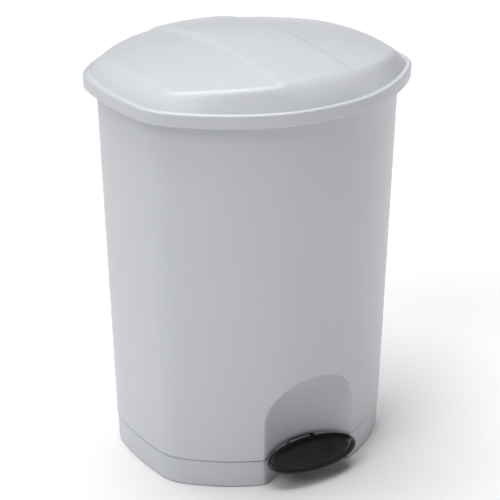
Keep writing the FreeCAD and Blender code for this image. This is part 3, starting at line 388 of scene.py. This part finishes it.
def build_base():
    """The base: plinth wall, floor, the lip that locates the body, and the screw posts."""
    heights = merged_heights(0.0, PLINTH_TOP, 1.6, 1.6, 30.0, 0.8, GATE_LOW, PLINTH_TOP - 0.8)

    def grow_of(z):
        foot_round = 2.5 - math.sqrt(max(0.0, 2.5 ** 2 - max(0.0, 2.5 - z) ** 2))
        return wall_grow(z) - PLINTH_SET_BACK - foot_round

    bm = wall_mesh(heights, grow_of, BODY_WALL, edge_round=0.7, gate_span=(GATE_LOW, PLINTH_TOP))
    floor_rows = [loop_of(bm, *wall_row(z, wall_grow(z) - PLINTH_SET_BACK - BODY_WALL / 2.0, BODY_WALL / 2.0))
                  for z in (0.3, FLOOR_THICK)]
    bridge(bm, *floor_rows)
    for row in floor_rows:
        bm.faces.new(row)
    bmesh.ops.triangulate(bm, faces=[f for f in bm.faces if len(f.verts) > 4])
    add_posts(bm, [(FLOOR_THICK, POST_RADIUS), (BOSS_SPLIT, POST_RADIUS)])
    base = new_object("base_shell", bm, "bin", "shell_plastic", "base_plinth")
    sharp_by_angle(base, 40.0)
    lip_heights = [PLINTH_TOP - LIP_RISE, PLINTH_TOP - 4.0, PLINTH_TOP, PLINTH_TOP + 4.0,
                   PLINTH_TOP + LIP_RISE]
    lip_mesh = wall_mesh(lip_heights, lambda z: wall_grow(z) - LIP_OUT, LIP_THICK, LIP_OUT, 0.0,
                         (PLINTH_TOP - LIP_RISE, PLINTH_TOP + LIP_RISE))
    lip = new_object("base_lip", lip_mesh, "bin", "shell_plastic")
    sharp_by_angle(lip, 40.0)
    return base, lip


LID_COLUMNS = 480


def lid_rings():
    """The lid's rows at the rim as (inset, height): skirt, bead and the bead's inner rounding."""
    rim = [(2.3, SKIRT_LOW + 0.25), (1.7, SKIRT_LOW), (0.7, SKIRT_LOW), (0.15, SKIRT_LOW + 0.35),
           (0.0, SKIRT_LOW + 1.2), (0.0, SKIRT_LOW + 6.0), (0.0, RIM_TOP - BEAD_ROUND - 3.0)]
    for k in range(9):
        a = math.pi / 2.0 * k / 8.0
        rim.append((BEAD_ROUND * (1.0 - math.cos(a)), RIM_TOP - BEAD_ROUND * (1.0 - math.sin(a))))
    inner_round = BEAD_WIDTH - BEAD_ROUND
    for k in range(1, 6):
        a = math.pi / 2.0 * k / 5.0
        rim.append((BEAD_ROUND + inner_round * math.sin(a), RIM_TOP - inner_round * (1.0 - math.cos(a))))
    return rim


def build_lid():
    """The domed lid: skirt, bead, groove, dome with its band, and the hollow underside."""
    bm = bmesh.new()
    angle = np.linspace(0.0, 2.0 * math.pi, LID_COLUMNS, endpoint=False)
    sx, sy = np.sin(angle), np.cos(angle)
    rows = []

    def add_row(inset, height_of, shrink=1.0):
        radius = ray_radius(angle, LID_OUT - inset) * shrink
        x, y = radius * sx, radius * sy
        rows.append(loop_of(bm, x, y, height_of(x, y)))

    inner_last = 60.0
    steps_in = [1.0 - k / 60.0 for k in range(1, 60)]
    for shrink in steps_in[::-1]:
        add_row(inner_last, lid_room_height, shrink)
    for inset in np.arange(inner_last, LID_WALL + 0.4, -1.2):
        add_row(inset, lid_room_height)
    add_row(LID_WALL, lambda x, y: np.full_like(x, RIM_TOP - GROOVE_DEPTH - LID_WALL - 0.8))
    for z in (546.0, 541.0, SKIRT_LOW + 0.8):
        add_row(LID_WALL, lambda x, y, z=z: np.full_like(x, z))
    for inset, z in lid_rings():
        add_row(inset, lambda x, y, z=z: np.full_like(x, z))
    for inset in np.concatenate([np.arange(5.6, 36.0, 0.8), np.arange(36.0, inner_last + 0.1, 2.0)]):
        add_row(inset, lid_height)
    for shrink in steps_in:
        add_row(inner_last, lid_height, shrink)
    for lower, upper in zip(rows, rows[1:]):
        bridge(bm, lower, upper)
    for row, height_of in ((rows[0], lid_room_height), (rows[-1], lid_height)):
        zero = np.zeros(1)
        centre = bm.verts.new((0.0, 0.0, float(height_of(zero, zero)[0])))
        for i in range(LID_COLUMNS):
            bm.faces.new((row[i], row[(i + 1) % LID_COLUMNS], centre))
    lid = new_object("lid_shell", bm, "lid_body", "shell_plastic", "lid")
    sharp_by_angle(lid, 50.0)
    return lid


def build_knuckles():
    """Two hinge knuckles behind the lid's skirt, each bored for the pin."""
    skirt_y = FRONT_REACH + FRONT_BULGE + LID_OUT
    reach = KNUCKLE_INNER + KNUCKLE_WIDTH
    arm_start = skirt_y - FRONT_BULGE * (reach / FRONT_HALF) ** 2 - LID_WALL / 2.0
    angle = np.linspace(0.0, 2.0 * math.pi, 64, endpoint=False)
    cos, sin = np.cos(angle), np.sin(angle)
    limit = np.where(np.abs(sin) > 1e-6, KNUCKLE_RADIUS / np.maximum(np.abs(sin), 1e-6), 1e6)
    to_arm = np.where(cos < -1e-6, (HINGE_Y - arm_start) / np.maximum(-cos, 1e-6), 1e6)
    outer = np.where(cos < -1e-6, np.minimum(limit, to_arm), KNUCKLE_RADIUS)
    bm = bmesh.new()
    for side in (-1, 1):
        rows = []
        for x, radius in ((KNUCKLE_INNER, PIN_BORE), (KNUCKLE_INNER, outer - 0.5),
                          (KNUCKLE_INNER + 0.5, outer), (reach - 0.5, outer),
                          (reach, outer - 0.5), (reach, PIN_BORE)):
            rows.append(loop_of(bm, np.full_like(angle, side * x), HINGE_Y + radius * cos,
                                HINGE_Z + radius * sin))
        for k in range(len(rows)):
            bridge(bm, rows[k], rows[(k + 1) % len(rows)])
    knuckles = new_object("lid_knuckles", bm, "lid_body", "shell_plastic")
    sharp_by_angle(knuckles, 30.0)
    return knuckles


def pad_under_dome(bm, outline_x, outline_y):
    """A solid pad from the lid's inner rim level up into the dome, over a convex outline."""
    floor = RIM_TOP - GROOVE_DEPTH - LID_WALL
    middle_x, middle_y = outline_x.mean(), outline_y.mean()
    rows = []
    for share, top in ((1.0, False), (1.0, True), (0.66, True), (0.33, True)):
        x = middle_x + (outline_x - middle_x) * share
        y = middle_y + (outline_y - middle_y) * share
        z = lid_height(x, y) - LID_WALL / 2.0 if top else np.full_like(x, floor)
        rows.append(loop_of(bm, x, y, z))
    for lower, upper in zip(rows, rows[1:]):
        bridge(bm, lower, upper)
    bm.faces.new(rows[0])
    bm.faces.new(rows[-1])


def build_lid_pads():
    """The wedge that carries the crank plate and the posts above the four buffers."""
    bm = bmesh.new()
    low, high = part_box("lid_crank")
    x0, x1 = low.x / MM - PAD_MARGIN, high.x / MM + PAD_MARGIN
    y0, y1 = low.y / MM - PAD_MARGIN, high.y / MM + PAD_MARGIN
    along = np.linspace(0.0, 1.0, PAD_POINTS, endpoint=False)
    still = np.ones(PAD_POINTS)
    x = np.concatenate([x0 + (x1 - x0) * along, x1 * still, x1 - (x1 - x0) * along, x0 * still])
    y = np.concatenate([y0 * still, y0 + (y1 - y0) * along, y1 * still, y1 - (y1 - y0) * along])
    pad_under_dome(bm, x, y)
    low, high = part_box("lid_buffers")
    angle = np.linspace(0.0, 2.0 * math.pi, POST_POINTS, endpoint=False)
    for side_x in (low.x / MM + BUFFER_RADIUS, high.x / MM - BUFFER_RADIUS):
        for side_y in (low.y / MM + BUFFER_RADIUS, high.y / MM - BUFFER_RADIUS):
            pad_under_dome(bm, side_x + BUFFER_POST * np.cos(angle), side_y + BUFFER_POST * np.sin(angle))
    pads = new_object("lid_pads", bm, "lid_body", "shell_plastic")
    sharp_by_angle(pads, 30.0)
    return pads


def build_pedal():
    """The oval dished tread with a soft rim."""
    angle = np.linspace(0.0, 2.0 * math.pi, 160, endpoint=False)
    rise = [(12.0, -PEDAL_THICK), (PEDAL_UNDER + 1.0, -PEDAL_THICK), (PEDAL_UNDER + 0.3, -PEDAL_THICK + 0.3),
            (PEDAL_UNDER, -PEDAL_THICK + 1.0), (PEDAL_UNDER, -PEDAL_LIP - 0.4),
            (PEDAL_UNDER - 0.4, -PEDAL_LIP)]
    low_round, top_round = 2.0, 2.2
    for k in range(7):
        a = math.pi / 2.0 * k / 6.0
        rise.append((low_round * (1.0 - math.sin(a)), -PEDAL_LIP + low_round * (1.0 - math.cos(a))))
    for k in range(7):
        a = math.pi / 2.0 * k / 6.0
        rise.append((top_round * (1.0 - math.cos(a)), -top_round * (1.0 - math.sin(a))))
    rise += [(3.2, -0.15), (4.2, -0.6), (PEDAL_RIM + 0.4, -1.6), (PEDAL_RIM + 1.6, -2.5),
             (PEDAL_RIM + 3.4, -PEDAL_DISH)]
    rise += [(inset, -PEDAL_DISH) for inset in (12.0, 18.0, 24.0)]
    bm = bmesh.new()
    rows = []
    for inset, z in rise:
        x = (PEDAL_HALF - inset) * np.cos(angle)
        y = (PEDAL_DEPTH - inset) * np.sin(angle)
        rows.append(loop_of(bm, x, y, np.full_like(x, z)))
    for lower, upper in zip(rows, rows[1:]):
        bridge(bm, lower, upper)
    bm.faces.new(rows[0])
    bm.faces.new(rows[-1])
    tilt = Matrix.Rotation(math.radians(PEDAL_TILT), 4, "X")
    bmesh.ops.transform(bm, matrix=Matrix.Translation(PEDAL_PLACE) @ tilt, verts=bm.verts)
    return new_object("pedal_tread", bm, "pedal_body", "pedal_plastic", "pedal")


# ---------------------------------------------------------------- materials

def new_material(name):
    material = bpy.data.materials.new(name)
    material.use_nodes = True
    nodes = material.node_tree.nodes
    nodes.clear()
    output = nodes.new("ShaderNodeOutputMaterial")
    shader = nodes.new("ShaderNodeBsdfPrincipled")
    material.node_tree.links.new(shader.outputs["BSDF"], output.inputs["Surface"])
    return material, shader


def add(material, kind, **values):
    """A node with some of its inputs or properties set."""
    node = material.node_tree.nodes.new(kind)
    for key, value in values.items():
        if hasattr(node, key):
            setattr(node, key, value)
        else:
            node.inputs[key.replace("_", " ")].default_value = value
    return node


def link(material, source, output, target, socket):
    material.node_tree.links.new(source.outputs[output], target.inputs[socket])


def noise(material, scale, detail=3.0, roughness=0.5):
    """Noise in the piece's own coordinates."""
    place = add(material, "ShaderNodeTexCoord")
    texture = add(material, "ShaderNodeTexNoise", Scale=scale, Detail=detail, Roughness=roughness)
    link(material, place, "Object", texture, "Vector")
    return texture


def ramp(material, source, output, stops):
    """A colour ramp from a list of (place, colour)."""
    node = add(material, "ShaderNodeValToRGB")
    elements = node.color_ramp.elements
    while len(elements) < len(stops):
        elements.new(0.5)
    for element, (place, colour) in zip(elements, stops):
        element.position = place
        element.color = (*colour, 1.0)
    link(material, source, output, node, "Fac")
    return node


def grey(value):
    return (value, value, value)


def moulded_plastic(name, colour, spread, roughness, grain_scale, grain_depth, edge=0.0):
    """Moulded plastic: slight mottling, uneven gloss and a fine moulded grain."""
    material, shader = new_material(name)
    mottle = noise(material, 9.0, 4.0, 0.6)
    dark = tuple(c * (1.0 - spread) for c in colour)
    light = tuple(min(1.0, c * (1.0 + spread)) for c in colour)
    tint = ramp(material, mottle, "Fac", [(0.3, dark), (0.7, light)])
    link(material, tint, "Color", shader, "Base Color")
    gloss_noise = noise(material, 40.0, 5.0, 0.65)
    gloss = ramp(material, gloss_noise, "Fac",
                 [(0.25, grey(roughness - 0.05)), (0.75, grey(roughness + 0.06))])
    link(material, gloss, "Color", shader, "Roughness")
    grain = noise(material, grain_scale, 2.0, 0.5)
    wave = noise(material, 14.0, 1.0, 0.4)
    swell = add(material, "ShaderNodeBump", Strength=0.25, Distance=0.0012)
    link(material, wave, "Fac", swell, "Height")
    bump = add(material, "ShaderNodeBump", Strength=0.35, Distance=grain_depth)
    link(material, grain, "Fac", bump, "Height")
    link(material, swell, "Normal", bump, "Normal")
    if edge:
        bevel = add(material, "ShaderNodeBevel", Radius=edge)
        link(material, bevel, "Normal", swell, "Normal")
    link(material, bump, "Normal", shader, "Normal")
    shader.inputs["Specular IOR Level"].default_value = 0.5
    return material


def drawn_metal(name, colour, roughness, edge):
    """Plated or drawn steel: fine streaks, faint stains and softened edges."""
    material, shader = new_material(name)
    shader.inputs["Metallic"].default_value = 1.0
    place = add(material, "ShaderNodeTexCoord")
    stretch = add(material, "ShaderNodeMapping")
    stretch.inputs["Scale"].default_value = (900.0, 900.0, 60.0)
    link(material, place, "Object", stretch, "Vector")
    streaks = add(material, "ShaderNodeTexNoise", Scale=1.0, Detail=3.0, Roughness=0.6)
    link(material, stretch, "Vector", streaks, "Vector")
    stains = noise(material, 60.0, 4.0, 0.6)
    dark = tuple(c * 0.82 for c in colour)
    tint = ramp(material, stains, "Fac", [(0.3, dark), (0.7, colour)])
    link(material, tint, "Color", shader, "Base Color")
    gloss = ramp(material, streaks, "Fac", [(0.2, grey(roughness - 0.08)), (0.8, grey(roughness + 0.1))])
    link(material, gloss, "Color", shader, "Roughness")
    bevel = add(material, "ShaderNodeBevel", Radius=edge)
    bump = add(material, "ShaderNodeBump", Strength=0.2, Distance=0.00004)
    link(material, streaks, "Fac", bump, "Height")
    link(material, bevel, "Normal", bump, "Normal")
    link(material, bump, "Normal", shader, "Normal")
    return material


def make_materials():
    return {
        "shell_plastic": moulded_plastic("shell_plastic", (0.60, 0.615, 0.65), 0.012, 0.32, 1600.0, 0.00005,
                                         0.0006),
        "bucket_plastic": moulded_plastic("bucket_plastic", (0.42, 0.43, 0.46), 0.02, 0.5, 1200.0, 0.00008,
                                          0.0006),
        "pedal_plastic": moulded_plastic("pedal_plastic", (0.004, 0.004, 0.005), 0.1, 0.30, 1400.0, 0.00006),
        "bearing_plastic": moulded_plastic("bearing_plastic", (0.035, 0.035, 0.04), 0.1, 0.45, 1200.0,
                                           0.00008, 0.0006),
        "rubber": moulded_plastic("rubber", (0.02, 0.02, 0.021), 0.12, 0.7, 900.0, 0.0001, 0.0004),
        "steel": drawn_metal("steel", (0.58, 0.58, 0.6), 0.3, 0.0003),
        "zinc_steel": drawn_metal("zinc_steel", (0.62, 0.64, 0.66), 0.38, 0.0005),
    }


def dress(materials, pieces):
    """Gives every shown CAD node and every new piece the material of its slot."""
    slots = {part["node"]: part["material_slot"] for part in frame["record"]["subparts"]}
    for name, obj in frame["nodes"].items():
        obj.data.materials.clear()
        obj.data.materials.append(materials[slots[name]])
    for obj in pieces:
        obj.data.materials.append(materials[obj["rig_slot"]])


# ---------------------------------------------------------------- stage, light and camera

def build_stage():
    """A plain pale floor."""
    bm = bmesh.new()
    for x, y in ((-1, -1), (1, -1), (1, 1), (-1, 1)):
        bm.verts.new((x * FLOOR_REACH, y * FLOOR_REACH, 0.0))
    bm.faces.new(bm.verts)
    mesh = bpy.data.meshes.new("floor")
    bm.to_mesh(mesh)
    bm.free()
    floor = bpy.data.objects.new("floor", mesh)
    bpy.context.scene.collection.objects.link(floor)
    material, shader = new_material("floor_white")
    speck = noise(material, 3.0, 2.0, 0.5)
    tint = ramp(material, speck, "Fac", [(0.3, grey(0.83)), (0.7, grey(0.85))])
    link(material, tint, "Color", shader, "Base Color")
    shader.inputs["Roughness"].default_value = 0.9
    mesh.materials.append(material)


def sun(name, azimuth, elevation, strength, softness):
    """A soft distant light. Azimuth 0 shines from the front and 90 from the left."""
    light = bpy.data.lights.new(name, "SUN")
    light.energy = strength
    light.angle = math.radians(softness)
    a, e = math.radians(azimuth), math.radians(elevation)
    toward = Vector((math.sin(a) * math.cos(e), math.cos(a) * math.cos(e), -math.sin(e)))
    obj = bpy.data.objects.new(name, light)
    obj.rotation_mode = "QUATERNION"
    obj.rotation_quaternion = toward.to_track_quat("-Z", "Y")
    obj.location = -SUN_AWAY * toward
    bpy.context.scene.collection.objects.link(obj)


def build_lights():
    world = bpy.data.worlds.new("studio")
    bpy.context.scene.world = world
    world.use_nodes = True
    background = world.node_tree.nodes["Background"]
    background.inputs["Color"].default_value = (*SKY_COLOUR, 1.0)
    background.inputs["Strength"].default_value = SKY_STRENGTH
    for name, settings in SUNS.items():
        sun(name, *settings)


def build_camera():
    camera = bpy.data.cameras.new("camera")
    camera.sensor_width = SENSOR_WIDTH
    camera.lens = LENS
    camera.clip_start, camera.clip_end = 0.05, 60.0
    obj = bpy.data.objects.new("camera", camera)
    obj.location = CAMERA_PLACE
    heading, pitch = math.radians(CAMERA_HEADING), math.radians(CAMERA_PITCH)
    forward = Vector((math.sin(heading) * math.cos(pitch), math.cos(heading) * math.cos(pitch),
                      math.sin(pitch)))
    obj.rotation_mode = "QUATERNION"
    obj.rotation_quaternion = forward.to_track_quat("-Z", "Y")
    bpy.context.scene.collection.objects.link(obj)
    bpy.context.scene.camera = obj


base, lip = build_base()
new_pieces = [build_body(), base, lip, build_lid(), build_knuckles(), build_lid_pads(), build_pedal()]
dress(make_materials(), new_pieces)
build_stage()
build_lights()
build_camera()
bpy.context.scene.view_settings.view_transform = "Standard"
